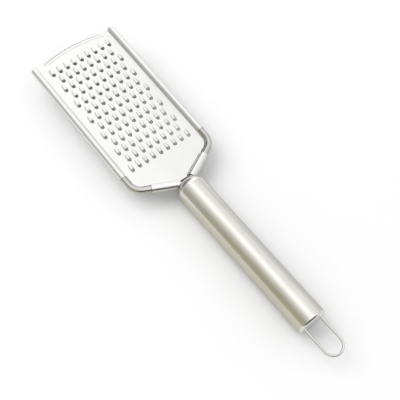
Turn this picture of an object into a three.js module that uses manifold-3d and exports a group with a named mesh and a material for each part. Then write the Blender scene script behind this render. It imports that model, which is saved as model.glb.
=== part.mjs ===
// A flat hand grater: a pressed tooth plate rolled round two bent rods, a tube handle and a wire hanging loop.
// Millimetres, +Z up. The handle lies along Y with the plate's tip towards +Y and the teeth facing up.
// The origin is at the middle of the bounding box, on the surface that the handle lies on.

import * as THREE from 'three';
import { mergeGeometries, mergeVertices } from 'three/addons/utils/BufferGeometryUtils.js';
import Module from 'manifold-3d';

const wasm = await Module();
wasm.setup();

// Tooth field: staggered rows, each short row with one tooth fewer than the long rows beside it
const COLUMN_PITCH = 5.6;
const ROW_PITCH = 7.25;
const ROWS = 13;
const LONG_ROW_TEETH = 9;

// One tooth: a scoop pressed up from the sheet, with its lip towards the handle and a hole below the lip
const TOOTH_WIDTH = 3.2;
const TOOTH_LENGTH = 5;
const TOOTH_HEIGHT = 0.9;
const HOLE_REACH = 2.1;

// Pressed sheet
const SHEET = 0.4;
const TIP_MARGIN = 15.3;
const TIP_RADIUS = 98;
const SIDE_MARGIN = 8.7;
const SIDE_ROLL_OVERRUN = 1.3;
const CORNER_INSET = 2.6;
const NECK_SLOT = 2.2;

// Stiffening rib pressed up near the tip
const RIB_INSET = 3.2;
const RIB_WIDTH = 3;
const RIB_HEIGHT = 0.7;
const RIB_HALF_LENGTH = 22.6;

// Frame rods and the rolled edges round them
const ROD_RADIUS = 2;
const ROD_RISE = 0.5;
const ROD_BEND = 9.5;
const ROD_RECESS = 1;
const SIDE_ROLL_CLEARANCE = 0.1;
const SLANT_ROLL_CLEARANCE = 0.25;
const ROLL_FOOT_ANGLE = THREE.MathUtils.degToRad(205);
const ROLL_EDGE_ANGLE = THREE.MathUtils.degToRad(-120);
const SHOULDER_DROP = 12.7;
const SLANT_ANGLE = THREE.MathUtils.degToRad(25.5);
const SLANT_ROLL_START = 11;
const SLANT_ROLL_END = 4.9;
const NOSE_CLEARANCE = 0.4;

// Handle tube and its two caps
const TUBE_RADIUS = 10;
const TUBE_WALL = 1.2;
const HANDLE_LENGTH = 118;
const HEAD_TILT = THREE.MathUtils.degToRad(3.7);
const AXIS_DROP = 1.8;
const NOSE_SETBACK = 2.2;
const NOSE_ROUNDING = 9;
const END_ROUNDING = 2;
const FRONT_SPIGOT = 12;
const END_SPIGOT = 6;
const TANG_DEPTH = 14;
const TANG_HALF_SPACING = 2.8;
const TANG_BEND = 2;
const TANG_RISE = 1.2;
const SEAT_GAP = 0.3;

// Wire hanging loop
const WIRE_RADIUS = 0.8;
const LOOP_REACH = 23.4;
const LEG_HALF_SPACING = 6.4;
const LEG_DEPTH = 8;

// Mesh fineness
const TUBE_SIDES = 32;
const ROD_SIDES = 12;
const WIRE_SIDES = 10;
const TOOTH_SIDES = 8;
const ROLL_STEPS = 14;
const ARC_STEPS = 8;

// Places worked out from the sizes above, in the plate's own frame: origin at the middle of the tooth field,
// on the sheet's upper face, with the tip towards +Y
const fieldHalfWidth = COLUMN_PITCH * (LONG_ROW_TEETH - 1) / 2;
const fieldHalfLength = ROW_PITCH * (ROWS - 1) / 2;
const railX = fieldHalfWidth + SIDE_MARGIN;
const tipY = fieldHalfLength + TIP_MARGIN;
const sideRollEndY = -fieldHalfLength - SIDE_ROLL_OVERRUN;
const shoulderY = -fieldHalfLength - SHOULDER_DROP;
const slantRise = Math.tan(SLANT_ANGLE);
const apexY = shoulderY - railX * slantRise;
const noseY = apexY + NOSE_SETBACK;
const neckEndY = noseY + NECK_SLOT;
const sideRollInner = ROD_RADIUS + SIDE_ROLL_CLEARANCE;
const slantRollInner = ROD_RADIUS + SLANT_ROLL_CLEARANCE;
const slantRollOuter = slantRollInner + SHEET;

// Points on the slanted lower edge of the right half
const slantY = (x) => apexY + x * slantRise;
const slantOut = new THREE.Vector2(Math.sin(SLANT_ANGLE), -Math.cos(SLANT_ANGLE));
const slantAlong = new THREE.Vector2(-Math.cos(SLANT_ANGLE), -Math.sin(SLANT_ANGLE));
const shoulder = new THREE.Vector2(railX, shoulderY);
const slantRollStart = shoulder.clone().addScaledVector(slantAlong, SLANT_ROLL_START);
const slantRollEnd = new THREE.Vector2(SLANT_ROLL_END, slantY(SLANT_ROLL_END));

const steel = (color, roughness) => new THREE.MeshStandardMaterial({ color, roughness, metalness: 1 });
const SHEET_STEEL = steel(0xe9e9e4, 0.3);
const ROD_STEEL = steel(0xd2d1c6, 0.2);
const TUBE_STEEL = steel(0xc9c5b8, 0.35);
const WIRE_STEEL = steel(0xd8d8d6, 0.2);

// A copy of a geometry with its triangles written out one by one
const loose = (geometry) => (geometry.index ? geometry.toNonIndexed() : geometry.clone());

// A closed geometry as a solid that can be joined and cut
function solid(geometry) {
  const bare = loose(geometry);
  bare.deleteAttribute('normal');
  bare.deleteAttribute('uv');
  const merged = mergeVertices(bare, 1e-4);
  const vertProperties = new Float32Array(merged.attributes.position.array);
  const triVerts = new Uint32Array(merged.index.array);
  return new wasm.Manifold(new wasm.Mesh({ numProp: 3, vertProperties, triVerts }));
}

// A joined or cut solid as a geometry again
function geometryOf(body) {
  const mesh = body.getMesh();
  const geometry = new THREE.BufferGeometry();
  geometry.setAttribute('position', new THREE.BufferAttribute(new Float32Array(mesh.vertProperties), 3));
  geometry.setIndex(new THREE.BufferAttribute(new Uint32Array(mesh.triVerts), 1));
  geometry.computeVertexNormals();
  return geometry;
}

function piece(name, geometry, material) {
  const mesh = new THREE.Mesh(geometry, material);
  mesh.name = name;
  return mesh;
}

// A straight prism of an outline in the XY plane, from one height to another
function slab(points, low, high) {
  const geometry = new THREE.ExtrudeGeometry(new THREE.Shape(points), { depth: high - low, bevelEnabled: false });
  return geometry.translate(0, 0, low);
}

// A path through points that is stepped from point to point, so that bends are finer than straight runs
class Route extends THREE.Curve {
  constructor(points) {
    super();
    this.points = points;
  }

  getPoint(t, target = new THREE.Vector3()) {
    const last = this.points.length - 2;
    const place = t * (last + 1);
    const i = Math.min(Math.floor(place), last);
    return target.lerpVectors(this.points[i], this.points[i + 1], place - i);
  }

  getPointAt(u, target) {
    return this.getPoint(u, target);
  }

  getTangentAt(u, target) {
    return this.getTangent(u, target);
  }
}

// A round bar through points
function roundBar(points, radius, sides) {
  const section = new THREE.Shape();
  section.absarc(0, 0, radius, 0, 2 * Math.PI);
  const steps = points.length - 1;
  return new THREE.ExtrudeGeometry(section, { extrudePath: new Route(points), steps, curveSegments: sides / 2 });
}

// Points of a level bend
function bendPoints(centre, radius, from, to, height, steps) {
  return Array.from({ length: steps + 1 }, (_, i) => {
    const angle = from + (to - from) * i / steps;
    return new THREE.Vector3(centre.x + radius * Math.cos(angle), centre.y + radius * Math.sin(angle), height);
  });
}

// A body turned about the Y axis, from (radius, y) points that start and end on the axis or close on themselves.
// One of its flat sides faces straight down.
function turned(profile) {
  const points = profile.map(([r, y]) => new THREE.Vector2(r, y));
  return new THREE.LatheGeometry(points, TUBE_SIDES, Math.PI / TUBE_SIDES);
}

// Points of a quarter round in a turned profile, from the first angle to the second
function quarterRound(r, y, radius, from, to) {
  return Array.from({ length: ARC_STEPS + 1 }, (_, i) => {
    const angle = from + (to - from) * i / ARC_STEPS;
    return [r + radius * Math.cos(angle), y + radius * Math.sin(angle)];
  });
}

const corners = (pairs) => pairs.map(([x, y]) => new THREE.Vector2(x, y));

const mirrored = (points) => points.map((p) => new THREE.Vector2(-p.x, p.y)).reverse();

// Distance in from a rolled edge's centre line to where the flat sheet runs into the roll
function rollJoint(inner) {
  const middle = inner + SHEET / 2;
  const depth = ROD_RISE + SHEET / 2;
  return Math.sqrt(middle * middle - depth * depth);
}

// Upper edge of the sheet at the tip, an arc across the plate
const tipArcY = (x) => tipY - TIP_RADIUS + Math.sqrt(TIP_RADIUS * TIP_RADIUS - x * x);

// Outline of the flat sheet below the tip: the sides run into the rolls, the shoulders are round and clear of
// the rods, and the neck is cut square in front of the handle
function flatOutline() {
  const sideX = railX - rollJoint(sideRollInner);
  const slantInset = rollJoint(slantRollInner);
  const cornerRadius = ROD_BEND - CORNER_INSET;
  const bend = bendCentre();
  const start = slantRollStart.clone().addScaledVector(slantOut, -CORNER_INSET);
  const joint = slantRollStart.clone().addScaledVector(slantOut, -slantInset);
  const end = slantRollEnd.clone().addScaledVector(slantOut, -slantInset);
  const neck = slantRollEnd.clone().addScaledVector(slantOut, -slantRollOuter);
  const neckHalf = (neckEndY - apexY - slantRollOuter / Math.cos(SLANT_ANGLE)) / slantRise;
  const right = new THREE.Path();
  right.moveTo(sideX, tipY);
  right.lineTo(sideX, sideRollEndY);
  right.lineTo(railX - CORNER_INSET, sideRollEndY);
  right.absarc(bend.x, bend.y, cornerRadius, 0, SLANT_ANGLE - Math.PI / 2, true);
  right.lineTo(start.x, start.y);
  right.lineTo(joint.x, joint.y);
  right.lineTo(end.x, end.y);
  right.lineTo(neck.x, neck.y);
  right.lineTo(neckHalf, neckEndY);
  const points = right.getPoints(ARC_STEPS);
  return [...points, ...mirrored(points)];
}

// Centre of the right shoulder's bend, which the rod and the sheet's corner share
function bendCentre() {
  const y = shoulderY - ROD_BEND * slantRise + ROD_BEND / Math.cos(SLANT_ANGLE);
  return new THREE.Vector2(railX - ROD_BEND, y);
}

// Section of a rolled edge: the sheet rises from the flat, goes over the rod and comes round below it.
// +X points away from the plate and +Y up.
function rollSection(inner) {
  const ring = (radius) => Array.from({ length: ROLL_STEPS + 1 }, (_, i) => {
    const angle = ROLL_FOOT_ANGLE + (ROLL_EDGE_ANGLE - ROLL_FOOT_ANGLE) * i / ROLL_STEPS;
    return new THREE.Vector2(radius * Math.cos(angle), ROD_RISE + radius * Math.sin(angle));
  });
  return new THREE.Shape([...ring(inner + SHEET), ...ring(inner).reverse()]);
}

// A rolled edge of the right half, from one point of its rod's centre line to another, running towards the handle
function roll(inner, from, to) {
  const along = to.clone().sub(from);
  const geometry = new THREE.ExtrudeGeometry(rollSection(inner), { depth: along.length(), bevelEnabled: false });
  const forward = new THREE.Vector3(along.x, along.y, 0).normalize();
  const up = new THREE.Vector3(0, 0, 1);
  const out = up.clone().cross(forward);
  const frame = new THREE.Matrix4().makeBasis(out, up, forward).setPosition(from.x, from.y, 0);
  return geometry.applyMatrix4(frame);
}

// The same geometry on the other side of the plate, with its faces still pointing out
function mirror(geometry) {
  const flipped = loose(geometry).scale(-1, 1, 1);
  const position = flipped.attributes.position;
  for (let i = 0; i < position.count; i += 3) {
    const a = new THREE.Vector3().fromBufferAttribute(position, i + 1);
    const b = new THREE.Vector3().fromBufferAttribute(position, i + 2);
    position.setXYZ(i + 1, b.x, b.y, b.z);
    position.setXYZ(i + 2, a.x, a.y, a.z);
  }
  return flipped;
}

// Places of the teeth, row by row from the tip
function toothPlaces() {
  const places = [];
  for (let row = 0; row < ROWS; row += 1) {
    const count = LONG_ROW_TEETH - row % 2;
    for (let i = 0; i < count; i += 1) {
      places.push([(i - (count - 1) / 2) * COLUMN_PITCH, fieldHalfLength - row * ROW_PITCH]);
    }
  }
  return places;
}

const atEachTooth = (geometry) => mergeGeometries(toothPlaces().map(([x, y]) => geometry.clone().translate(x, y, 0)));

// A cone lying on the sheet's upper face, from its wide end at y = 0 to its point towards the tip
function lyingCone(width, height, length) {
  const cone = new THREE.ConeGeometry(width / 2, length, TOOTH_SIDES);
  return cone.translate(0, length / 2, 0).rotateY(Math.PI / 2).scale(1, 1, 2 * height / width);
}

// Scoops and the openings under them. The dark mouth of a tooth, from its lip to the hole's far edge, is centred on
// the tooth's place.
function teeth() {
  const lipY = HOLE_REACH / 2;
  const wall = 2 * SHEET / TOOTH_WIDTH;
  const hollowWidth = TOOTH_WIDTH - 2 * SHEET;
  const hollowLength = TOOTH_LENGTH * (1 - wall) + SHEET;
  const footprint = [[-TOOTH_WIDTH, 0], [TOOTH_WIDTH, 0], [TOOTH_WIDTH, TOOTH_LENGTH], [-TOOTH_WIDTH, TOOTH_LENGTH]];
  const above = solid(slab(corners(footprint), -SHEET / 2, TOOTH_HEIGHT));
  const scoop = solid(lyingCone(TOOTH_WIDTH, TOOTH_HEIGHT, TOOTH_LENGTH)).intersect(above);
  const reach = -HOLE_REACH;
  const half = hollowWidth / 2;
  const through = [[half, 0], [0, hollowLength - SHEET], [-half, 0], [-half, reach / 2], [-half / 2, reach],
    [half / 2, reach], [half, reach / 2]];
  const hollow = lyingCone(hollowWidth, TOOTH_HEIGHT - SHEET, hollowLength).translate(0, -SHEET, 0);
  const opening = solid(hollow).add(solid(slab(corners(through), -2 * SHEET, SHEET / 4)));
  return [scoop, opening].map((body) => solid(atEachTooth(geometryOf(body).translate(0, lipY, 0))));
}

// A curved band with round ends that follows the tip's arc
function ribOutline(width) {
  const radius = TIP_RADIUS - RIB_INSET;
  const half = Math.asin((RIB_HALF_LENGTH - width / 2) / radius);
  const centreY = tipY - TIP_RADIUS;
  const up = Math.PI / 2;
  const band = new THREE.Path();
  band.absarc(0, centreY, radius + width / 2, up - half, up + half);
  const left = new THREE.Vector2(Math.cos(up + half), Math.sin(up + half)).multiplyScalar(radius);
  band.absarc(left.x, centreY + left.y, width / 2, up + half, up + half + Math.PI);
  band.absarc(0, centreY, radius - width / 2, up + half, up - half, true);
  const right = new THREE.Vector2(Math.cos(up - half), Math.sin(up - half)).multiplyScalar(radius);
  band.absarc(right.x, centreY + right.y, width / 2, up - half + Math.PI, up - half + 2 * Math.PI);
  return mergedPoints(band.getPoints(ARC_STEPS));
}

// Drops points of an outline that fall on the one before them
function mergedPoints(points) {
  return points.filter((p, i) => p.distanceTo(points[(i + points.length - 1) % points.length]) > 1e-3);
}

// Pressed plate: flat sheet, rolled edges, rib and teeth in one piece
function graterPlate() {
  const sideFrom = new THREE.Vector2(railX, tipY);
  const sideTo = new THREE.Vector2(railX, sideRollEndY);
  const rolls = [roll(sideRollInner, sideFrom, sideTo), roll(slantRollInner, slantRollStart, slantRollEnd)];
  let body = solid(slab(flatOutline(), -SHEET, 0));
  for (const edge of rolls) {
    body = body.add(solid(edge)).add(solid(mirror(edge)));
  }
  body = body.intersect(solid(tipTrim()));
  const toPlate = placeOnHandle(new THREE.Group()).matrix.invert();
  body = body.subtract(solid(turned(noseProfile(TUBE_RADIUS, NOSE_CLEARANCE)).applyMatrix4(toPlate)));
  body = body.add(solid(slab(ribOutline(RIB_WIDTH), -SHEET / 2, RIB_HEIGHT)));
  body = body.subtract(solid(slab(ribOutline(RIB_WIDTH - 2 * SHEET), -2 * SHEET, RIB_HEIGHT - SHEET)));
  const [scoops, openings] = teeth();
  return geometryOf(body.add(scoops).subtract(openings));
}

// Everything below the tip's arc, wider and deeper than the plate
function tipTrim() {
  const margin = ROD_RISE + 2 * slantRollOuter;
  const halfWidth = railX + margin;
  const arc = Array.from({ length: 4 * ARC_STEPS + 1 }, (_, i) => {
    const x = halfWidth * (1 - i / (2 * ARC_STEPS));
    return new THREE.Vector2(x, tipArcY(x));
  });
  const low = apexY - margin;
  const outline = [new THREE.Vector2(-halfWidth, low), new THREE.Vector2(halfWidth, low), ...arc];
  return slab(outline, -margin, margin);
}

// Height of the handle's axis over the plate's upper face
const axisZ = (y) => -AXIS_DROP + (noseY - y) * Math.tan(HEAD_TILT);

// Centre line of the right rod: down the side, round the shoulder, along the slant and into the front cap
function rodPoints() {
  const at = (p, z = ROD_RISE) => new THREE.Vector3(p.x, p.y, z);
  const top = new THREE.Vector2(railX, tipArcY(railX + sideRollInner + SHEET) - ROD_RECESS);
  const bend = bendPoints(bendCentre(), ROD_BEND, 0, SLANT_ANGLE - Math.PI / 2, ROD_RISE, ARC_STEPS);
  const corner = new THREE.Vector2(TANG_HALF_SPACING, slantY(TANG_HALF_SPACING));
  const turnX = TANG_HALF_SPACING + TANG_BEND;
  const turnStart = new THREE.Vector2(turnX, slantY(turnX));
  const turnEnd = new THREE.Vector2(TANG_HALF_SPACING, corner.y - TANG_BEND);
  const tangEnd = new THREE.Vector2(TANG_HALF_SPACING, noseY - TANG_DEPTH);
  const onTang = (p) => at(p, axisZ(p.y) + TANG_RISE);
  const turn = new THREE.QuadraticBezierCurve3(at(turnStart), onTang(corner), onTang(turnEnd));
  return [at(top), ...bend, ...turn.getPoints(ARC_STEPS), onTang(tangEnd)];
}

const rightRod = (radius) => roundBar(rodPoints(), radius, ROD_SIDES);

// Plate and rods, tilted up from the handle about the nose. The handle's axis passes below the plate's face there.
function placeOnHandle(object) {
  object.rotation.x = HEAD_TILT;
  object.position.y = -noseY * Math.cos(HEAD_TILT) - AXIS_DROP * Math.sin(HEAD_TILT);
  object.position.z = -noseY * Math.sin(HEAD_TILT) + AXIS_DROP * Math.cos(HEAD_TILT);
  object.updateMatrixWorld(true);
  return object;
}

function head() {
  const group = new THREE.Group();
  group.add(piece('grater_plate', graterPlate(), SHEET_STEEL));
  group.add(piece('frame_rod_left', mirror(rightRod(ROD_RADIUS)), ROD_STEEL));
  group.add(piece('frame_rod_right', rightRod(ROD_RADIUS), ROD_STEEL));
  return placeOnHandle(group);
}

// Handle parts, along the tube's axis: the nose is at y = 0 and the rear face at -HANDLE_LENGTH
const boreRadius = TUBE_RADIUS - TUBE_WALL;
const spigotRadius = boreRadius - SEAT_GAP;
const tubeFrontY = -NOSE_ROUNDING - SEAT_GAP;
const tubeRearY = -HANDLE_LENGTH + END_ROUNDING + SEAT_GAP;

function handleTube() {
  return turned([
    [boreRadius, tubeFrontY], [TUBE_RADIUS, tubeFrontY], [TUBE_RADIUS, tubeRearY],
    [boreRadius, tubeRearY], [boreRadius, tubeFrontY],
  ].reverse());
}

// Profile of the front cap: a spigot and a rounded nose, which can be grown to cut a clearance round it
function noseProfile(spigot, growth) {
  const backY = -NOSE_ROUNDING - FRONT_SPIGOT;
  const nose = quarterRound(TUBE_RADIUS - NOSE_ROUNDING, -NOSE_ROUNDING, NOSE_ROUNDING + growth, 0, Math.PI / 2);
  return [[0, backY], [spigot, backY], [spigot, -NOSE_ROUNDING], ...nose, [0, growth]];
}

// Rounded nose with a spigot in the tube and a slanting hole for each rod
function frontCap() {
  const holes = rightRod(ROD_RADIUS + SEAT_GAP);
  const placed = placeOnHandle(new THREE.Group());
  const right = holes.clone().applyMatrix4(placed.matrix);
  const left = mirror(holes).applyMatrix4(placed.matrix);
  return geometryOf(solid(turned(noseProfile(spigotRadius, 0))).subtract(solid(right)).subtract(solid(left)));
}

// Flat rear closure with a rounded edge, a spigot in the tube and a hole for each leg of the loop
function endCap() {
  const frontY = -HANDLE_LENGTH + END_ROUNDING + END_SPIGOT;
  const edgeY = -HANDLE_LENGTH + END_ROUNDING;
  const edge = quarterRound(TUBE_RADIUS - END_ROUNDING, edgeY, END_ROUNDING, -Math.PI / 2, 0);
  const profile = [[0, -HANDLE_LENGTH], ...edge, [spigotRadius, edgeY], [spigotRadius, frontY], [0, frontY]];
  let body = solid(turned(profile));
  const holeRadius = WIRE_RADIUS + SEAT_GAP;
  const holeLength = 4 * (frontY + HANDLE_LENGTH);
  for (const side of [-1, 1]) {
    const hole = new THREE.CylinderGeometry(holeRadius, holeRadius, holeLength, 2 * WIRE_SIDES);
    body = body.subtract(solid(hole.translate(side * LEG_HALF_SPACING, -HANDLE_LENGTH, 0)));
  }
  return geometryOf(body);
}

function hangingLoop() {
  const legEndY = -HANDLE_LENGTH + LEG_DEPTH;
  const centre = new THREE.Vector2(0, -HANDLE_LENGTH - LOOP_REACH + WIRE_RADIUS + LEG_HALF_SPACING);
  const legEnd = (side) => new THREE.Vector3(side * LEG_HALF_SPACING, legEndY, 0);
  const bend = bendPoints(centre, LEG_HALF_SPACING, 0, -Math.PI, 0, 2 * ARC_STEPS);
  return roundBar([legEnd(1), ...bend, legEnd(-1)], WIRE_RADIUS, WIRE_SIDES);
}

function grater() {
  const group = new THREE.Group();
  group.add(head());
  group.add(piece('handle_tube', handleTube(), TUBE_STEEL));
  group.add(piece('front_cap', frontCap(), TUBE_STEEL));
  group.add(piece('end_cap', endCap(), TUBE_STEEL));
  group.add(piece('hanging_loop', hangingLoop(), WIRE_STEEL));
  group.updateMatrixWorld(true);
  const box = new THREE.Box3().setFromObject(group, true);
  group.position.y = -(box.min.y + box.max.y) / 2;
  group.position.z = -box.min.z;
  return group;
}

export default grater();
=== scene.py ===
from math import atan2, cos, pi, radians, sin, sqrt, tan

import bmesh
import bpy
from mathutils import Matrix, Vector


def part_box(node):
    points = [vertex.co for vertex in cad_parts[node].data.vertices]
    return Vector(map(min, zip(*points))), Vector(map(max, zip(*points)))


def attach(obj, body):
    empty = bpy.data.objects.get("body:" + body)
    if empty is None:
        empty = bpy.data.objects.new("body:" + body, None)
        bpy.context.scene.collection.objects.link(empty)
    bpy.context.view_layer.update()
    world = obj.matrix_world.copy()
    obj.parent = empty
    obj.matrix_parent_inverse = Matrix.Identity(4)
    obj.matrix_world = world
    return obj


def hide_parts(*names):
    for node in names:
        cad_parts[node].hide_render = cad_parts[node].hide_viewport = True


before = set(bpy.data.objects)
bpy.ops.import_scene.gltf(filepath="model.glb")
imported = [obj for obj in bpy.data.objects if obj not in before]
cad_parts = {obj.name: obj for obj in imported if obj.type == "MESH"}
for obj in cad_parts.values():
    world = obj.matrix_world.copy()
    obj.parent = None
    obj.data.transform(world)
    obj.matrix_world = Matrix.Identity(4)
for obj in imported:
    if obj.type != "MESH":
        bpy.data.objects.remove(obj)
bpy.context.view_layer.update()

# Flat hand grater, lying on its handle. Shapes are worked out in millimetres. The head has its own frame,
# with the origin at the middle of the tooth field on the sheet's upper face and the tip towards +Y. The
# handle is measured along its axis, from 0 at the nose back to the rear.

MM = 0.001

# Tooth field, with each tooth in a cell of its own
COLUMN_PITCH = 5.6
ROW_PITCH = 7.25
ROWS = 13
LONG_ROW = 9
CELL_FRONT = -1.65
CELL_STEPS_X = 8
CELL_STEPS_Y = 6

# One tooth: a raised lip over the mouth, and a hood that falls from the lip to its foot on the flat sheet.
# LIP_LEVEL counts the cell's steps from its front to the lip.
LIP_HALF_WIDTH = 1.45
LIP_HEIGHT = 0.62
LIP_POWER = 3
LIP_Y = 0.75
LIP_LEVEL = 2
MOUTH_REACH = 2.15
MOUTH_POWER = 0.8
MOUTH_MARGIN = 0.15
HOOD_LENGTH = 4.65
HOOD_POWER = 1.3
HOOD_MARGIN = 0.25
HOOD_FALL = 4
HOOD_RINGS = (0, 0.15, 0.35, 0.55, 0.75, 0.9, 1)
FLAT_RINGS = (0.35, 1)

# Sheet and its outline
SHEET = 0.4
RAIL_X = 31.1
TIP_Y = 58.8
TIP_RADIUS = 98
CORNER_INSET = 3.0
CORNER_DROP = 0.6
CORNER_STEPS = 14
SHOULDER_Y = -56.2
SLANT = radians(25.5)
NECK_SLOT = 2.2
NECK_HALF = 3.0

# Rolled edges
SIDE_ROLL = 2.5
SIDE_FILLET = 0.4
SLANT_ROLL = 2.9
SLANT_FILLET = 0.2
SLANT_SLIT = 0.35
SLANT_ROLL_START = 11
SLANT_ROLL_END = 4.9
SLANT_STEPS = 24
ROLL_EDGE = radians(-120)
ROLL_STEPS = 30
FILLET_STEPS = 6
NOSE_CLEARANCE = 0.4
NOSE_SEARCH_STEP = 0.05
NOSE_SEARCH_SLACK = 0.04

# Rib, and the distances in from the tip's edge at which the sheet has rows of points
RIB_INSET = 3.2
RIB_HALF_WIDTH = 1.5
RIB_HEIGHT = 0.47
RIB_OUTER_WALL = 1.1
RIB_INNER_WALL = 0.9
RIB_HALF_LENGTH = 23.4
TIP_INSETS = (5.0, 4.7, 4.5, 4.3, 4.1, 3.9, 3.7, 3.5, 3.2, 2.9,
              2.7, 2.5, 2.3, 2.1, 1.9, 1.7, 1.2, 0.6, 0.0)

# Rods
ROD_RADIUS = 2
ROD_RISE = 0.5
ROD_BEND = 9.5
ROD_RECESS = 1
ROD_SIDES = 24
ROD_SIDE_STEPS = 12
ROD_BEND_STEPS = 24
ROD_SLANT_STEPS = 6
TANG_DEPTH = 14
TANG_HALF_SPACING = 2.8
TANG_BEND = 2
TANG_BEND_STEPS = 12
TANG_RISE = 1.2
BAR_CHAMFER = 0.15

# Handle and loop
HEAD_TILT = radians(3.7)
AXIS_DROP = 1.8
NOSE_SETBACK = 2.2
TUBE_RADIUS = 10
TUBE_WALL = 1.2
TUBE_SIDES = 128
TUBE_STEPS = 24
TUBE_SEAM = 0.02
HANDLE_LENGTH = 118
NOSE_ROUNDING = 7
NOSE_STEPS = 40
NOSE_SPIGOT = 12
END_ROUNDING = 2
END_STEPS = 16
END_SPIGOT = 6
SPIGOT_CLEARANCE = 0.3
WIRE_RADIUS = 0.8
WIRE_SIDES = 20
LOOP_REACH = 23.4
LOOP_BEND_STEPS = 32
LEG_HALF_SPACING = 6.4
LEG_DEPTH = 8
LEG_STEPS = 6

# Angles in degrees from which an edge of a piece is sharp
SHARP_SHEET = 40
SHARP_BAR = 50
SHARP_TUBE = 30
SHARP_CAP = 40

# Places that follow from the sizes
APEX_Y = SHOULDER_Y - RAIL_X * tan(SLANT)
NOSE_Y = APEX_Y + NOSE_SETBACK
NECK_Y = NOSE_Y + NECK_SLOT
BEND_CENTRE = (RAIL_X - ROD_BEND, SHOULDER_Y - ROD_BEND * tan(SLANT) + ROD_BEND / cos(SLANT))
SLANT_FROM = RAIL_X / cos(SLANT) - SLANT_ROLL_START
SLANT_TO = SLANT_ROLL_END / cos(SLANT)
FIELD_TOP = ROW_PITCH * (ROWS - 1) / 2 + CELL_FRONT + ROW_PITCH
FIELD_BOTTOM = FIELD_TOP - ROWS * ROW_PITCH
FIELD_HALF = COLUMN_PITCH * LONG_ROW / 2
REAR_Y = -HANDLE_LENGTH
BORE = TUBE_RADIUS - TUBE_WALL
SPIGOT_RADIUS = BORE - SPIGOT_CLEARANCE

# The handle's axis and the head in the shared frame
nose_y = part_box("front_cap")[1].y
tube_low, tube_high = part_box("handle_tube")
handle_frame = Matrix.Translation((0, nose_y, (tube_low.z + tube_high.z) / 2))
tilt = Matrix.Rotation(HEAD_TILT, 4, "X") @ Matrix.Translation((0, -NOSE_Y * MM, AXIS_DROP * MM))
plate_frame = handle_frame @ tilt


# Points

def spread(low, high, steps):
    """Evenly spaced numbers from low to high."""
    return [low + (high - low) * i / steps for i in range(steps + 1)]


def round_angles(count):
    """Evenly spaced angles of a full turn."""
    return [2 * pi * i / count for i in range(count)]


def between(one, two, share):
    """The point that lies a share of the way from one point to another."""
    return tuple(a + (b - a) * share for a, b in zip(one, two))


def mirrored(points):
    """The same points on the other side of the middle, in the opposite order."""
    return [(-p[0], *p[1:]) for p in reversed(points)]


def arc(centre, radius, start, end, steps):
    """Points on an arc about a centre, from one angle to another."""
    angles = spread(start, end, steps)
    return [(centre[0] + radius * cos(a), centre[1] + radius * sin(a)) for a in angles]


# Meshes

class Skin:
    """Points in millimetres and the faces between them. Points that agree to DIGITS places are shared."""

    DIGITS = 3

    def __init__(self):
        self.points = []
        self.faces = []
        self.known = {}

    def at(self, p):
        """The number of a point, which is added if it is new."""
        key = tuple(round(c, self.DIGITS) for c in p)
        if key not in self.known:
            self.known[key] = len(self.points)
            self.points.append(p)
        return self.known[key]

    def face(self, corners):
        """A face through the corners, unless they fall together into a line or point."""
        ring = [self.at(p) for p in corners]
        ring = [v for i, v in enumerate(ring) if v != ring[i - 1]]
        if len(ring) > 2:
            self.faces.append(ring)

    def grid(self, rows):
        """Faces between rows of as many points each."""
        for low, high in zip(rows, rows[1:]):
            for i in range(len(low) - 1):
                self.face((low[i], low[i + 1], high[i + 1], high[i]))

    def twin_grids(self, rows):
        """The same grid on the right and, mirrored, on the left."""
        self.grid(rows)
        self.grid([mirrored(row) for row in rows])

    def rings(self, rings):
        """Faces between closed rings of as many points each, from the inner to the outer one."""
        for inner, outer in zip(rings, rings[1:]):
            count = len(inner)
            for i in range(count):
                j = (i + 1) % count
                self.face((inner[i], outer[i], outer[j], inner[j]))

    def piece(self, name, place):
        """The object, in metres, with its points moved by a frame."""
        mesh = bpy.data.meshes.new(name)
        mesh.from_pydata([place @ (Vector(p) * MM) for p in self.points], [], self.faces)
        obj = bpy.data.objects.new(name, mesh)
        bpy.context.collection.objects.link(obj)
        return obj


def settle(obj, angle):
    """Turns the modified mesh into the object's own, smooth up to an angle and flat faces weighing more."""
    bpy.context.view_layer.update()
    made = bpy.data.meshes.new_from_object(obj.evaluated_get(bpy.context.evaluated_depsgraph_get()))
    obj.modifiers.clear()
    obj.data = made
    for polygon in made.polygons:
        polygon.use_smooth = True
    made.set_sharp_from_angle(angle=radians(angle))
    weigh = obj.modifiers.new("even_faces", "WEIGHTED_NORMAL")
    weigh.keep_sharp = True
    return obj


def closed(obj):
    """Points all faces of a closed piece outwards."""
    work = bmesh.new()
    work.from_mesh(obj.data)
    bmesh.ops.recalc_face_normals(work, faces=work.faces)
    work.to_mesh(obj.data)
    work.free()
    return obj


def turned(name, profile):
    """A body turned about the handle's axis, from (radius, y) points."""
    skin = Skin()
    angles = round_angles(TUBE_SIDES)
    skin.rings([[(r * cos(a), y, r * sin(a)) for a in angles] for r, y in profile])
    return closed(skin.piece(name, handle_frame))


def bar(name, route, radius, sides, place):
    """A round bar along a route of points, with chamfered ends."""
    route = [Vector(p) for p in route]
    last = len(route) - 1
    angles = round_angles(sides)
    narrow = radius * (1 - BAR_CHAMFER)
    across = Vector((0, 0, 1))
    rings = []
    for i, p in enumerate(route):
        ahead = (route[min(i + 1, last)] - route[max(i - 1, 0)]).normalized()
        across = (across - ahead * across.dot(ahead)).normalized()
        beside = ahead.cross(across)
        spokes = [across * cos(a) + beside * sin(a) for a in angles]
        inwards = ahead * BAR_CHAMFER * radius
        cuts = [(p, radius)]
        if i == 0:
            cuts = [(p, 0), (p, narrow), (p + inwards, radius)]
        if i == last:
            cuts = [(p - inwards, radius), (p, narrow), (p, 0)]
        rings += [[tuple(centre + spoke * size) for spoke in spokes] for centre, size in cuts]
    skin = Skin()
    skin.rings(rings)
    return closed(skin.piece(name, place))


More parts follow.
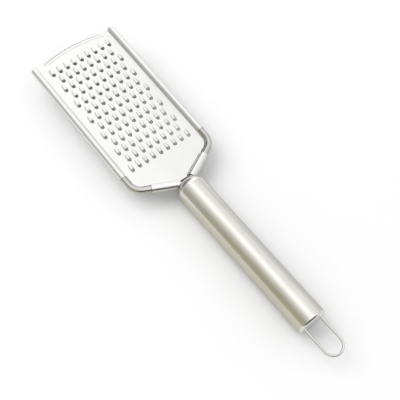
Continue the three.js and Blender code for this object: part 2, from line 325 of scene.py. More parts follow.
# Teeth

def cell_border():
    """The border of a tooth's cell, anticlockwise from beside the lip's right end."""
    half = COLUMN_PITCH / 2
    xs = spread(-half, half, CELL_STEPS_X)
    ys = spread(CELL_FRONT, CELL_FRONT + ROW_PITCH, CELL_STEPS_Y)
    border = [(half, y) for y in ys[LIP_LEVEL:]]
    border += [(x, ys[-1]) for x in reversed(xs[:-1])]
    border += [(-half, y) for y in reversed(ys[:-1])]
    border += [(x, ys[0]) for x in xs[1:]]
    border += [(half, y) for y in ys[1:LIP_LEVEL]]
    return border


def tooth_rings():
    """Rings of points round one tooth: from the mouth's edge over the hood to its foot, and to the border."""
    border = cell_border()
    lip_steps = 2 * (CELL_STEPS_Y - LIP_LEVEL) + CELL_STEPS_X
    mouth_steps = len(border) - lip_steps
    foot_half_width = LIP_HALF_WIDTH + HOOD_MARGIN
    mouth = []
    foot = []
    for i in range(lip_steps + 1):
        a = pi * i / lip_steps
        rise = max(sin(a), 0)
        mouth.append((LIP_HALF_WIDTH * cos(a), LIP_Y, LIP_HEIGHT * rise ** LIP_POWER))
        foot.append((foot_half_width * cos(a), LIP_Y + HOOD_LENGTH * rise ** HOOD_POWER))
    for i in range(1, mouth_steps):
        a = pi * i / mouth_steps
        dip = sin(a) ** MOUTH_POWER
        mouth.append((-LIP_HALF_WIDTH * cos(a), LIP_Y - MOUTH_REACH * dip, 0))
        foot.append((-foot_half_width * cos(a), LIP_Y - (MOUTH_REACH + MOUTH_MARGIN) * dip))
    rings = []
    for share in HOOD_RINGS:
        fall = 1 - share ** HOOD_FALL
        rings.append([(*between(m, f, share), m[2] * fall) for m, f in zip(mouth, foot)])
    for share in FLAT_RINGS:
        rings.append([(*between(f, b, share), 0) for f, b in zip(foot, border)])
    return rings


def tooth_field(skin):
    """Staggered rows of teeth. The short rows have half a cell of flat sheet at each end."""
    tooth = tooth_rings()
    for row in range(ROWS):
        count = LONG_ROW - row % 2
        y = ROW_PITCH * ((ROWS - 1) / 2 - row)
        for i in range(count):
            x = (i - (count - 1) / 2) * COLUMN_PITCH
            skin.rings([[(x + p[0], y + p[1], p[2]) for p in ring] for ring in tooth])
        if count < LONG_ROW:
            xs = spread(FIELD_HALF - COLUMN_PITCH / 2, FIELD_HALF, CELL_STEPS_X // 2)
            levels = spread(y + CELL_FRONT, y + CELL_FRONT + ROW_PITCH, CELL_STEPS_Y)
            skin.twin_grids([[(x, level, 0) for x in xs] for level in levels])


# Margins, tip and shoulders

def roll_profile(radius, fillet):
    """(outward, up) points of a rolled edge's outside, from the flat sheet over the rod to the edge below."""
    rise = fillet - ROD_RISE
    out = sqrt((radius + fillet) ** 2 - rise ** 2)
    start = atan2(rise, -out) % (2 * pi)
    foot = arc((-out, fillet), fillet, -pi / 2, start - pi, FILLET_STEPS)
    over = arc((0, ROD_RISE), radius, start, ROLL_EDGE, ROLL_STEPS)
    return foot + over[1:]


def side_margin():
    """(x, z) points across the right margin, from beside the tooth field over the rolled side."""
    roll = [(RAIL_X + out, up) for out, up in roll_profile(SIDE_ROLL, SIDE_FILLET)]
    return [((FIELD_HALF + roll[0][0]) / 2, 0)] + roll


def field_columns():
    """(x, z) points across the tooth field."""
    return [(x, 0) for x in spread(-FIELD_HALF, FIELD_HALF, LONG_ROW * CELL_STEPS_X)]


def rolled_sides(skin):
    """The margins beside the tooth field, with their edges rolled round the rods."""
    section = [(FIELD_HALF, 0)] + side_margin()
    levels = spread(FIELD_BOTTOM, FIELD_TOP, ROWS * CELL_STEPS_Y)
    skin.twin_grids([[(x, level, z) for x, z in section] for level in levels])


def tip_arc(x):
    """Where the tip's edge lies at a distance from the middle."""
    return TIP_Y - TIP_RADIUS + sqrt(TIP_RADIUS ** 2 - x * x)


def rib_height(x, inset):
    """Height of the stiffening rib at a distance in from the tip's edge."""
    past_end = max(0, abs(x) - RIB_HALF_LENGTH + RIB_HALF_WIDTH)
    wall = RIB_INNER_WALL if inset > RIB_INSET else RIB_OUTER_WALL
    up_wall = (RIB_HALF_WIDTH - sqrt((inset - RIB_INSET) ** 2 + past_end ** 2)) / wall
    share = max(0, min(1, up_wall))
    return RIB_HEIGHT * share * share * (3 - 2 * share)


def tip_point(x, z, inset):
    """A point of the tip at a distance in from its edge. In the shorter margins the distance shrinks too."""
    inner = max(-FIELD_HALF, min(FIELD_HALF, x))
    y = tip_arc(inner) - inset
    if inner == x:
        return (x, y, rib_height(x, inset))
    share = (y - FIELD_TOP) / (tip_arc(inner) - FIELD_TOP)
    return (x, FIELD_TOP + share * (tip_arc(x) - FIELD_TOP), z)


def ribbed_tip(skin):
    """The sheet from the first row of teeth to the tip's edge, with the rib along it."""
    margin = side_margin()
    columns = mirrored(margin) + field_columns() + margin
    rows = [[(x, FIELD_TOP, z) for x, z in columns]]
    rows += [[tip_point(x, z, inset) for x, z in columns] for inset in TIP_INSETS]
    skin.grid(rows)


def slant_point(along, out, up):
    """A point by the right slant: distance from where the slants meet, distance outwards, and height."""
    x = along * cos(SLANT) + out * sin(SLANT)
    y = APEX_Y + along * sin(SLANT) - out * cos(SLANT)
    return (x, y, up)


def shoulders(skin):
    """The flat sheet from the last row of teeth down to the neck, as one face."""
    margin = side_margin()
    slit = roll_profile(SLANT_ROLL, SLANT_FILLET)[0][0] - SLANT_SLIT
    corner = arc(BEND_CENTRE, ROD_BEND - CORNER_INSET, 0, SLANT - pi / 2, CORNER_STEPS)
    right = [(margin[1][0], FIELD_BOTTOM, 0), (RAIL_X - CORNER_INSET, FIELD_BOTTOM - CORNER_DROP, 0)]
    right += [(x, y, 0) for x, y in corner]
    right += [slant_point(SLANT_FROM, -CORNER_INSET, 0), slant_point(SLANT_FROM, slit, 0)]
    right += [slant_point(SLANT_TO, slit, 0), (NECK_HALF, NECK_Y, 0)]
    columns = mirrored(margin[:1]) + field_columns() + margin[:1]
    top = [(x, FIELD_BOTTOM, 0) for x, _ in columns]
    outline = mirrored(right) + top + right
    skin.face(list(reversed(outline)))


def inside_nose(point):
    """Whether a point of the head is nearer to the handle's nose than the clearance."""
    spot = Matrix.Rotation(HEAD_TILT, 3, "X") @ (Vector(point) - Vector((0, NOSE_Y, -AXIS_DROP)))
    reach = sqrt(spot.x ** 2 + spot.z ** 2)
    if spot.y < -NOSE_ROUNDING:
        return reach < TUBE_RADIUS + NOSE_CLEARANCE
    past_core = max(reach - TUBE_RADIUS + NOSE_ROUNDING, 0)
    return past_core ** 2 + (spot.y + NOSE_ROUNDING) ** 2 < (NOSE_ROUNDING + NOSE_CLEARANCE) ** 2


def roll_stop(out, up):
    """How far in along the slant a line of its roll runs before it comes too close to the nose. A stop within
    the slack of the end counts as the end."""
    stop = SLANT_FROM
    while stop > SLANT_TO and not inside_nose(slant_point(stop - NOSE_SEARCH_STEP, out, up)):
        stop -= NOSE_SEARCH_STEP
    return stop if stop > SLANT_TO + NOSE_SEARCH_SLACK else SLANT_TO


def slanted_rolls(skin):
    """The slanted lower edges, rolled round the rods. All lines but the foot's stop short of the nose."""
    profile = roll_profile(SLANT_ROLL, SLANT_FILLET)
    stops = [SLANT_TO] + [roll_stop(out, up) for out, up in profile[1:]]
    lines = []
    for (out, up), stop in zip(profile, stops):
        lines.append([slant_point(along, out, up) for along in spread(SLANT_FROM, stop, SLANT_STEPS)])
    skin.twin_grids(lines)


def grater_plate():
    """One pressed sheet, drawn as its upper face and thickened downwards."""
    skin = Skin()
    tooth_field(skin)
    rolled_sides(skin)
    ribbed_tip(skin)
    shoulders(skin)
    slanted_rolls(skin)
    obj = skin.piece("pressed_plate", plate_frame)
    thick = obj.modifiers.new("sheet", "SOLIDIFY")
    thick.thickness = SHEET * MM
    thick.offset = -1
    thick.use_even_offset = True
    thick.thickness_clamp = 1
    return settle(obj, SHARP_SHEET)


# Rods, handle and loop

def slant_y(x):
    """Where the slant lies at a distance from the middle."""
    return APEX_Y + x * tan(SLANT)


def tang_point(y):
    """A point of a rod's straight end, which runs along the handle a little above its axis."""
    z = TANG_RISE - AXIS_DROP + (NOSE_Y - y) * tan(HEAD_TILT)
    return Vector((TANG_HALF_SPACING, y, z))


def rod_route(side):
    """A rod's line: down the side, round the shoulder, along the slant and into the handle."""
    top = tip_arc(RAIL_X + SIDE_ROLL) - ROD_RECESS
    route = [(RAIL_X, y, ROD_RISE) for y in spread(top, BEND_CENTRE[1], ROD_SIDE_STEPS)[:-1]]
    route += [(x, y, ROD_RISE) for x, y in arc(BEND_CENTRE, ROD_BEND, 0, SLANT - pi / 2, ROD_BEND_STEPS)]
    shoulder_end = route[-1]
    turn_x = TANG_HALF_SPACING + TANG_BEND
    turn_start = Vector((turn_x, slant_y(turn_x), ROD_RISE))
    corner_y = slant_y(TANG_HALF_SPACING)
    corner = tang_point(corner_y)
    turn_end = tang_point(corner_y - TANG_BEND)
    route += [between(shoulder_end, turn_start, t) for t in spread(0, 1, ROD_SLANT_STEPS)[1:-1]]
    for t in spread(0, 1, TANG_BEND_STEPS):
        route.append(turn_start * (1 - t) ** 2 + corner * 2 * t * (1 - t) + turn_end * t * t)
    route.append(tang_point(NOSE_Y - TANG_DEPTH))
    return [(side * x, y, z) for x, y, z in route]


def loop_route():
    """The wire's line: out of the rear closure, round the loop and back in."""
    centre_y = REAR_Y - LOOP_REACH + WIRE_RADIUS + LEG_HALF_SPACING
    leg = [(LEG_HALF_SPACING, y, 0) for y in spread(REAR_Y + LEG_DEPTH, centre_y, LEG_STEPS)[:-1]]
    bend = [(x, y, 0) for x, y in arc((0, centre_y), LEG_HALF_SPACING, 0, -pi, LOOP_BEND_STEPS)]
    return leg + bend + mirrored(leg)


def tube_profile():
    """(radius, y) points round the tube's wall."""
    front = -NOSE_ROUNDING - TUBE_SEAM
    rear = REAR_Y + END_ROUNDING + TUBE_SEAM
    outside = [(TUBE_RADIUS, y) for y in spread(front, rear, TUBE_STEPS)]
    return [(BORE, front)] + outside + [(BORE, rear), (BORE, front)]


def nose_profile():
    """(radius, y) points of the domed nose and its spigot inside the tube."""
    seat = -NOSE_ROUNDING
    end = seat - NOSE_SPIGOT
    dome = arc((TUBE_RADIUS - NOSE_ROUNDING, seat), NOSE_ROUNDING, pi / 2, 0, NOSE_STEPS)
    return [(0, 0)] + dome + [(SPIGOT_RADIUS, seat), (SPIGOT_RADIUS, end), (0, end)]


def closure_profile():
    """(radius, y) points of the flat rear closure and its spigot inside the tube."""
    seat = REAR_Y + END_ROUNDING
    end = seat + END_SPIGOT
    rim = arc((TUBE_RADIUS - END_ROUNDING, seat), END_ROUNDING, -pi / 2, 0, END_STEPS)
    return [(0, REAR_Y)] + rim + [(SPIGOT_RADIUS, seat), (SPIGOT_RADIUS, end), (0, end)]


def rod(name, side):
    """A bent frame rod on the left (-1) or the right (1)."""
    return settle(bar(name, rod_route(side), ROD_RADIUS, ROD_SIDES, plate_frame), SHARP_BAR)


plate = grater_plate()
left_rod = rod("bent_rod_left", -1)
right_rod = rod("bent_rod_right", 1)
tube = settle(turned("round_tube", tube_profile()), SHARP_TUBE)
nose = settle(turned("domed_nose", nose_profile()), SHARP_CAP)
rear_cap = settle(turned("rear_closure", closure_profile()), SHARP_CAP)
loop = settle(bar("wire_loop", loop_route(), WIRE_RADIUS, WIRE_SIDES, handle_frame), SHARP_BAR)


# Shader helpers

# A Mix node's colour sockets by place, because its sockets for other kinds have the same names
MIX_ONE = 6
MIX_TWO = 7
MIX_RESULT = 2


def feed(tree, socket, value):
    """Links an input to another node's output, or sets it to a plain value."""
    if isinstance(value, bpy.types.NodeSocket):
        tree.links.new(value, socket)
    else:
        socket.default_value = value


def add(tree, kind, **values):
    """Adds a node. A value goes to the setting of that name, or else to the input, with _ for a space."""
    node = tree.nodes.new(kind)
    for key, value in values.items():
        if hasattr(node, key):
            setattr(node, key, value)
        else:
            feed(tree, node.inputs[key.replace("_", " ")], value)
    return node


def calculate(tree, operation, *sources, **settings):
    """The result of a Math node, whose sources are outputs or numbers."""
    node = add(tree, "ShaderNodeMath", operation=operation, **settings)
    for socket, source in zip(node.inputs, sources):
        feed(tree, socket, source)
    return node.outputs["Value"]


def fade(tree, source, span, result, kind="SMOOTHSTEP"):
    """A value that goes from result[0] to result[1] while the source goes through the span."""
    node = add(tree, "ShaderNodeMapRange", interpolation_type=kind, Value=source, From_Min=span[0],
               From_Max=span[1], To_Min=result[0], To_Max=result[1])
    return node.outputs["Result"]


def mix(tree, share, one, two):
    """A colour between two others, which are outputs or three numbers, by the share of the second."""
    node = add(tree, "ShaderNodeMix", data_type="RGBA", Factor=share)
    for place, colour in ((MIX_ONE, one), (MIX_TWO, two)):
        feed(tree, node.inputs[place], (*colour, 1) if isinstance(colour, tuple) else colour)
    return node.outputs[MIX_RESULT]


def ramp(tree, place, tones, kind):
    """A colour from a list of (position, tone), read at a place from 0 to 1."""
    node = add(tree, "ShaderNodeValToRGB", Fac=place)
    node.color_ramp.interpolation = kind
    stops = node.color_ramp.elements
    stops.remove(stops[-1])
    for i, (position, tone) in enumerate(tones):
        stop = stops[0] if i == 0 else stops.new(position)
        stop.position = position
        stop.color = (*tone, 1)
    return node.outputs["Color"]


def split(tree, direction):
    """The X, Y and Z outputs of a place or direction."""
    return add(tree, "ShaderNodeSeparateXYZ", Vector=direction).outputs


def new_material(name):
    """A material with its first nodes, and its node tree."""
    material = bpy.data.materials.new(name)
    material.use_nodes = True
    return material, material.node_tree


def group(name, inputs, output):
    """A node group with a Vector and further number inputs, and one number output."""
    tree = bpy.data.node_groups.new(name, "ShaderNodeTree")
    tree.interface.new_socket("Vector", in_out="INPUT", socket_type="NodeSocketVector")
    for label, value in inputs:
        made = tree.interface.new_socket(label, in_out="INPUT", socket_type="NodeSocketFloat")
        made.default_value = value
    tree.interface.new_socket(output, in_out="OUTPUT", socket_type="NodeSocketFloat")
    return tree, tree.nodes.new("NodeGroupInput").outputs, tree.nodes.new("NodeGroupOutput").inputs


# Steel finishes

# Streaks of drawn steel, as how often they change across and along the handle in a metre, and their detail
FINE_STREAKS = ((2600, 60, 2600), 3.0)
BROAD_STREAKS = ((420, 5, 420), 2.0)
BROAD_STREAK_SHARE = 4.0
STREAK_ROUGHNESS = 0.6

# Handling marks, as patches in a metre, and their share in the roughness beside the grain
MARK_SCALE = 55.0
MARK_DETAIL = 4.0
MARK_ROUGHNESS = 0.55
MARK_SPAN = (0.35, 0.7)
MARK_SHARE = 0.6

# Satin grain of rolled sheet, in a metre
SATIN_SCALE = 2500.0
SATIN_DETAIL = 2.0
SATIN_ROUGHNESS = 0.5

# Marks and grain together at which the steel is at its roughest, and the grain's relief in metres
FULL_WEAR = 1.6
BUMP_STRENGTH = 0.25
SHEET_GRAIN_DEPTH = 0.00002
FINE_GRAIN_DEPTH = 0.00001

# The rear closure's flat face is where the normal's Y is below this
REAR_FACING = -0.95


def streak(tree, place, stretch, detail):
    """Noise that is drawn out along the handle by a stretched place."""
    along = add(tree, "ShaderNodeMapping", vector_type="POINT", Vector=place, Scale=stretch)
    noise = add(tree, "ShaderNodeTexNoise", Vector=along.outputs["Vector"], Scale=1.0, Detail=detail,
                Roughness=STREAK_ROUGHNESS)
    return noise.outputs["Fac"]


def drawn_line_group():
    """Fine streaks along the handle's direction, over broader ones."""
    tree, given, sent = group("drawn_lines", [], "Grain")
    fine, broad = [streak(tree, given["Vector"], *kind) for kind in (FINE_STREAKS, BROAD_STREAKS)]
    feed(tree, sent["Grain"], calculate(tree, "MULTIPLY_ADD", broad, BROAD_STREAK_SHARE, fine))
    return tree


def handling_mark_group():
    """Broad soft patches where the finish is a little duller."""
    tree, given, sent = group("handling_marks", [("Scale", MARK_SCALE)], "Marks")
    patch = add(tree, "ShaderNodeTexNoise", Vector=given["Vector"], Scale=given["Scale"], Detail=MARK_DETAIL,
                Roughness=MARK_ROUGHNESS)
    feed(tree, sent["Marks"], fade(tree, patch.outputs["Fac"], MARK_SPAN, (0, 1)))
    return tree


def satin_grain_group():
    """The fine even grain of rolled sheet."""
    tree, given, sent = group("satin_grain", [("Scale", SATIN_SCALE)], "Grain")
    grain = add(tree, "ShaderNodeTexNoise", Vector=given["Vector"], Scale=given["Scale"], Detail=SATIN_DETAIL,
                Roughness=SATIN_ROUGHNESS)
    feed(tree, sent["Grain"], grain.outputs["Fac"])
    return tree


drawn_lines = drawn_line_group()
handling_marks = handling_mark_group()
satin_grain = satin_grain_group()


def steel(name, light, dull, smooth, rough, fine, depth):
    """Steel whose tone shifts from light to dull with handling marks, and whose roughness shifts from smooth
    to rough with the marks and the grain. The strong grain of drawn lines keeps it close to rough."""
    material, tree = new_material(name)
    shader = tree.nodes["Principled BSDF"].inputs
    shader["Metallic"].default_value = 1.0
    place = add(tree, "ShaderNodeTexCoord").outputs["Object"]
    worn = add(tree, "ShaderNodeGroup", node_tree=handling_marks, Vector=place, Scale=MARK_SCALE)
    marks = worn.outputs["Marks"]
    grain = add(tree, "ShaderNodeGroup", node_tree=fine, Vector=place).outputs["Grain"]
    wear = calculate(tree, "MULTIPLY_ADD", marks, MARK_SHARE, grain)
    bump = add(tree, "ShaderNodeBump", Strength=BUMP_STRENGTH, Distance=depth, Height=grain)
    feed(tree, shader["Base Color"], mix(tree, marks, light, dull))
    feed(tree, shader["Roughness"], fade(tree, wear, (0, FULL_WEAR), (smooth, rough), "LINEAR"))
    feed(tree, shader["Normal"], bump.outputs["Normal"])
    return material


sheet_steel = steel("pressed_sheet_steel", light=(0.74, 0.74, 0.735), dull=(0.72, 0.72, 0.71),
                    smooth=0.26, rough=0.38, fine=satin_grain, depth=SHEET_GRAIN_DEPTH)
rod_steel = steel("bright_rod_steel", light=(0.52, 0.515, 0.49), dull=(0.48, 0.475, 0.45),
                  smooth=0.1, rough=0.22, fine=drawn_lines, depth=FINE_GRAIN_DEPTH)
tube_steel = steel("drawn_tube_steel", light=(0.71, 0.7, 0.67), dull=(0.68, 0.67, 0.64),
                   smooth=0.12, rough=0.22, fine=drawn_lines, depth=FINE_GRAIN_DEPTH)
nose_steel = steel("satin_nose_steel", light=(0.71, 0.7, 0.67), dull=(0.68, 0.67, 0.64),
                   smooth=0.18, rough=0.28, fine=satin_grain, depth=FINE_GRAIN_DEPTH)
cap_steel = steel("bright_cap_steel", light=(0.76, 0.755, 0.735), dull=(0.72, 0.715, 0.695),
                  smooth=0.12, rough=0.22, fine=satin_grain, depth=FINE_GRAIN_DEPTH)
# A copy of the cap's steel, made brighter for the rear face: painted light
face_steel = steel("painted_light_face_steel", light=(0.97, 0.97, 0.96), dull=(0.94, 0.94, 0.93),
                   smooth=0.14, rough=0.24, fine=satin_grain, depth=FINE_GRAIN_DEPTH)
wire_steel = steel("bright_wire_steel", light=(0.68, 0.68, 0.675), dull=(0.64, 0.64, 0.635),
                   smooth=0.1, rough=0.22, fine=drawn_lines, depth=FINE_GRAIN_DEPTH)

# Each piece with the solid that it stands for, its finish and its slot
dressing = [
    (plate, "grater_plate", sheet_steel, "sheet_steel"),
    (left_rod, "frame_rod_left", rod_steel, "rod_steel"),
    (right_rod, "frame_rod_right", rod_steel, "rod_steel"),
    (tube, "handle_tube", tube_steel, "tube_steel"),
    (nose, "front_cap", nose_steel, "tube_steel"),
    (rear_cap, "end_cap", cap_steel, "tube_steel"),
    (loop, "hanging_loop", wire_steel, "wire_steel"),
]
for obj, node, material, slot in dressing:
    obj.data.materials.append(material)
    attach(obj, "root")
    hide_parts(node)

# The rear closure's flat face gets a brighter copy of its steel, painted light that makes it paler than its
# rounded rim
rear_cap.data.materials.append(face_steel)
for polygon in rear_cap.data.polygons:
    polygon.material_index = int(polygon.normal.y < REAR_FACING)


# Floor

# Size of the floor in millimetres
FLOOR_REACH = 3000
FLOOR_CELLS = 12

# White to the camera. Other rays meet painted shade on each side of the handle, darker than the floor and
# warm-tinted on the left, which the steel mirrors and which darkens bounced light, and a near-white tone past
# its ends. Spans and places are in metres.
FLOOR_SEEN = (1.0, 1.0, 1.0)
MIRRORED_SHADE_RIGHT = (0.7, 0.7, 0.7)
MIRRORED_SHADE_LEFT = (0.79, 0.77, 0.67)
FLOOR_LEFT_SPAN = (0.0, -0.03)
FLOOR_ENDS = (0.97, 0.97, 0.95)
FLOOR_ENDS_SPAN = (0.052, 0.07)
HANDLE_MIDDLE_Y = -0.052

# Painted shadow: a soft grey patch on the floor under the head, which shows dark through its openings, with
# tones from the neck to the tip
SHADE_MIDDLE_X = 0.007
SHADE_NECK_Y = 0.0095
SHADE_NECK_HALF = 0.001
SHADE_SHOULDER_Y = 0.0245
SHADE_SHOULDER_HALF = 0.031
SHADE_TIP_Y = 0.146
SHADE_EDGE = 0.006
SHADE_TONES = [(0.0, 0.35), (0.17, 0.35), (0.22, 1.0), (0.5, 0.68), (0.8, 0.32), (0.9, 0.17), (1.0, 0.12)]


def floor_and_mirrored_shade(tree, place):
    """The floor's colour: white to the camera, and to other rays the painted shade beside the handle that the
    steel mirrors.
    """
    left = fade(tree, place["X"], FLOOR_LEFT_SPAN, (0, 1))
    beside = mix(tree, left, MIRRORED_SHADE_RIGHT, MIRRORED_SHADE_LEFT)
    ahead = calculate(tree, "SUBTRACT", place["Y"], HANDLE_MIDDLE_Y)
    past = fade(tree, calculate(tree, "ABSOLUTE", ahead), FLOOR_ENDS_SPAN, (0, 1))
    met = mix(tree, past, beside, FLOOR_ENDS)
    seen = add(tree, "ShaderNodeLightPath").outputs["Is Camera Ray"]
    return mix(tree, seen, met, FLOOR_SEEN)


def painted_shadow_mask(tree, place):
    """Where the painted shadow lies: 1 under the head and 0 elsewhere, with soft edges."""
    half = fade(tree, place["Y"], (SHADE_NECK_Y, SHADE_SHOULDER_Y), (SHADE_NECK_HALF, SHADE_SHOULDER_HALF),
                "LINEAR")
    aside = calculate(tree, "ABSOLUTE", calculate(tree, "SUBTRACT", place["X"], SHADE_MIDDLE_X))
    past_side = calculate(tree, "SUBTRACT", aside, half)
    across = fade(tree, past_side, (-SHADE_EDGE, 0), (1, 0))
    before_tip = fade(tree, place["Y"], (SHADE_TIP_Y - SHADE_EDGE, SHADE_TIP_Y), (1, 0))
    past_neck = fade(tree, place["Y"], (SHADE_NECK_Y - SHADE_EDGE / 2, SHADE_NECK_Y), (0, 1))
    return calculate(tree, "MULTIPLY", calculate(tree, "MULTIPLY", across, before_tip), past_neck)


def pale_floor():
    """A white floor, with a patch of painted shadow under the head."""
    skin = Skin()
    ticks = spread(-FLOOR_REACH, FLOOR_REACH, FLOOR_CELLS)
    skin.grid([[(x, y, 0) for x in ticks] for y in ticks])
    obj = skin.piece("floor", Matrix.Identity(4))
    material, tree = new_material("pale_floor")
    shader = tree.nodes["Principled BSDF"].inputs
    shader["Roughness"].default_value = 1.0
    shader["Specular IOR Level"].default_value = 0.0
    place = split(tree, add(tree, "ShaderNodeTexCoord").outputs["Object"])
    # Tone of the painted shadow, read from the neck to the tip
    along = fade(tree, place["Y"], (SHADE_NECK_Y, SHADE_TIP_Y), (0, 1), "LINEAR")
    shade = ramp(tree, along, [(position, (tone,) * 3) for position, tone in SHADE_TONES], "LINEAR")
    colour = mix(tree, painted_shadow_mask(tree, place), floor_and_mirrored_shade(tree, place), shade)
    feed(tree, shader["Base Color"], colour)
    obj.data.materials.append(material)


# World and studio shell

# Strength of the world's light at the horizon and overhead, and how late it rises between them
WORLD_LOW = 0.7
WORLD_HIGH = 0.75
WORLD_POWER = 2.0

# Shell of soft panels: its size in millimetres, its brightness, and the share that is left after a bounce
SHELL_RADIUS = 1500
SHELL_SIDES = 96
SHELL_LEVELS = 24
SHELL_BRIGHTNESS = 1.6
SHELL_BOUNCED = 0.2

# Tones by angle in degrees, from the left over the top to the right: olive, white, grey
SHELL_TONES = [
    (-90, (0.35, 0.335, 0.25)),
    (-78, (0.29, 0.275, 0.195)),
    (-66, (0.265, 0.255, 0.18)),
    (-52, (0.3, 0.295, 0.22)),
    (-39, (0.41, 0.405, 0.345)),
    (-25, (0.52, 0.515, 0.475)),
    (-11, (0.79, 0.79, 0.775)),
    (3, (1.0, 1.0, 1.0)),
    (17, (0.79, 0.79, 0.79)),
    (27, (0.745, 0.745, 0.745)),
    (37, (0.61, 0.61, 0.61)),
    (48, (0.69, 0.69, 0.69)),
    (58, (0.62, 0.62, 0.62)),
    (67, (0.55, 0.55, 0.55)),
    (90, (0.47, 0.47, 0.47)),
]

# Panels by direction, where Y is 1 towards the tip and X is 1 to the right. The near panel is dark, except on
# the right, and the far one is dim. The back panel is pale, except on the left, and the plain one has no tint
# and is a little brighter on the left.
NEAR_PANEL_Y = (-0.75, -0.5)
NEAR_PANEL_X = (0.3, 0.6)
NEAR_PANEL_SHARE = 0.08
FAR_PANEL_Y = (0.8, 0.93)
FAR_PANEL_SHARE = 0.15
BACK_PANEL_Y = (0.48, 0.57)
BACK_PANEL_X = (-0.2, 0.1)
BACK_PANEL_TONE = (0.9, 0.9, 0.9)
PLAIN_PANEL_Y = (0.3, 0.42)
PLAIN_PANEL_X = (-0.6, -0.3)
PLAIN_PANEL_LIFT = 1.2


def pale_world():
    """A plain world: white where the camera or the steel sees it, and a little softer as light."""
    world = bpy.data.worlds.new("studio")
    bpy.context.scene.world = world
    world.use_nodes = True
    tree = world.node_tree
    back = tree.nodes["Background"].inputs
    ray = add(tree, "ShaderNodeLightPath").outputs
    seen = calculate(tree, "MAXIMUM", ray["Is Camera Ray"], ray["Is Glossy Ray"])
    direction = split(tree, add(tree, "ShaderNodeTexCoord").outputs["Generated"])
    height = calculate(tree, "POWER", direction["Z"], WORLD_POWER, use_clamp=True)
    light = fade(tree, height, (0, 1), (WORLD_LOW, WORLD_HIGH), "LINEAR")
    back["Color"].default_value = (1, 1, 1, 1)
    feed(tree, back["Strength"], fade(tree, seen, (0, 1), (light, 1), "LINEAR"))


def shell_colour(tree, direction):
    """Tones from left to right, without their tint towards the tip, and the pale panel at the back."""
    turn = calculate(tree, "ARCTAN2", direction["X"], direction["Z"])
    place = fade(tree, turn, (-pi / 2, pi / 2), (0, 1), "LINEAR")
    tinted = ramp(tree, place, [((angle + 90) / 180, tone) for angle, tone in SHELL_TONES], "B_SPLINE")
    grey = add(tree, "ShaderNodeRGBToBW", Color=tinted).outputs["Val"]
    lift = fade(tree, direction["X"], PLAIN_PANEL_X, (PLAIN_PANEL_LIFT, 1))
    plain = calculate(tree, "MULTIPLY", grey, lift)
    colour = mix(tree, fade(tree, direction["Y"], PLAIN_PANEL_Y, (0, 1)), tinted, plain)
    back_y = fade(tree, direction["Y"], BACK_PANEL_Y, (0, 1))
    back_x = fade(tree, direction["X"], BACK_PANEL_X, (0, 1))
    return mix(tree, calculate(tree, "MULTIPLY", back_y, back_x), colour, BACK_PANEL_TONE)


def shell_strength(tree, direction):
    """Brightness of the shell: less at the near and far panels, and for light that has bounced."""
    near_y = fade(tree, direction["Y"], NEAR_PANEL_Y, (NEAR_PANEL_SHARE, 1))
    near_x = fade(tree, direction["X"], NEAR_PANEL_X, (0, 1))
    near = calculate(tree, "MAXIMUM", near_y, near_x)
    far = fade(tree, direction["Y"], FAR_PANEL_Y, (1, FAR_PANEL_SHARE))
    bounces = add(tree, "ShaderNodeLightPath").outputs["Diffuse Depth"]
    brightness = fade(tree, bounces, (0, 1), (SHELL_BRIGHTNESS, SHELL_BRIGHTNESS * SHELL_BOUNCED), "LINEAR")
    return calculate(tree, "MULTIPLY", calculate(tree, "MULTIPLY", near, far), brightness)


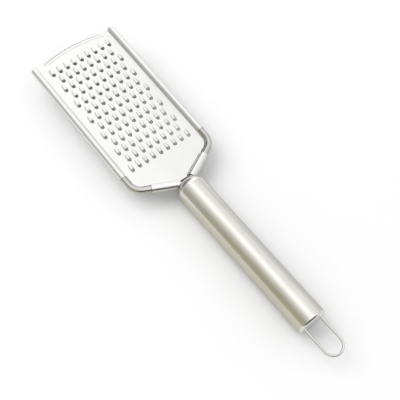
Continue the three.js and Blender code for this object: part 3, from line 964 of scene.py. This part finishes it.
def studio_shell():
    """A half round shell of soft panels, which only the steel mirrors."""
    skin = Skin()
    turns = round_angles(SHELL_SIDES)
    rings = []
    for lift in spread(0, pi / 2, SHELL_LEVELS):
        reach = SHELL_RADIUS * cos(lift)
        rings.append([(reach * cos(a), reach * sin(a), SHELL_RADIUS * sin(lift)) for a in turns])
    skin.rings(rings)
    obj = skin.piece("studio_shell", Matrix.Identity(4))
    material, tree = new_material("panel_cloth")
    tree.nodes.remove(tree.nodes["Principled BSDF"])
    place = add(tree, "ShaderNodeTexCoord").outputs["Object"]
    ray = add(tree, "ShaderNodeVectorMath", operation="NORMALIZE", Vector=place)
    direction = split(tree, ray.outputs["Vector"])
    glow = add(tree, "ShaderNodeEmission", Color=shell_colour(tree, direction),
               Strength=shell_strength(tree, direction))
    feed(tree, tree.nodes["Material Output"].inputs["Surface"], glow.outputs["Emission"])
    obj.data.materials.append(material)
    obj.visible_camera = False
    obj.visible_diffuse = False
    obj.visible_shadow = False


# Lamp and camera

# The lamp, in metres
LAMP_PLACE = Vector((-0.7, 1.2, 1.7))
LAMP_SIDE = 1.8
LAMP_RADIANCE = 2.2

# The camera, with its place in millimetres in the head's frame, found from the rows of teeth in the photo
CAMERA_LENS = 68.49
CAMERA_SENSOR = 36
CAMERA_CLIP = (0.01, 50)
CAMERA_PLACE = Vector((-170.383, -218.074, 420.895))
CAMERA_RIGHT = (0.773397, -0.62376, 0.11305)
CAMERA_UP = (0.52316, 0.728745, 0.441854)
CAMERA_BACK = (-0.357995, -0.282585, 0.889935)


def shadow_softbox():
    """A soft lamp for the shadow, aimed at the origin, which the steel doesn't mirror."""
    data = bpy.data.lights.new("shadow_softbox", "AREA")
    data.shape = "RECTANGLE"
    data.size = LAMP_SIDE
    data.size_y = LAMP_SIDE
    data.energy = LAMP_RADIANCE * pi * LAMP_SIDE * LAMP_SIDE
    obj = bpy.data.objects.new("shadow_softbox", data)
    obj.location = LAMP_PLACE
    obj.rotation_euler = (-LAMP_PLACE).to_track_quat("-Z", "Y").to_euler()
    obj.visible_glossy = False
    obj.visible_camera = False
    bpy.context.collection.objects.link(obj)


def camera():
    """A camera at the photo's viewing angle."""
    data = bpy.data.cameras.new("camera")
    data.lens = CAMERA_LENS
    data.sensor_width = CAMERA_SENSOR
    data.clip_start, data.clip_end = CAMERA_CLIP
    obj = bpy.data.objects.new("camera", data)
    turn = Matrix((CAMERA_RIGHT, CAMERA_UP, CAMERA_BACK)).transposed().to_4x4()
    obj.matrix_world = plate_frame @ Matrix.Translation(CAMERA_PLACE * MM) @ turn
    bpy.context.collection.objects.link(obj)
    bpy.context.scene.camera = obj


pale_floor()
pale_world()
studio_shell()
shadow_softbox()
camera()
bpy.context.scene.view_settings.view_transform = "Standard"
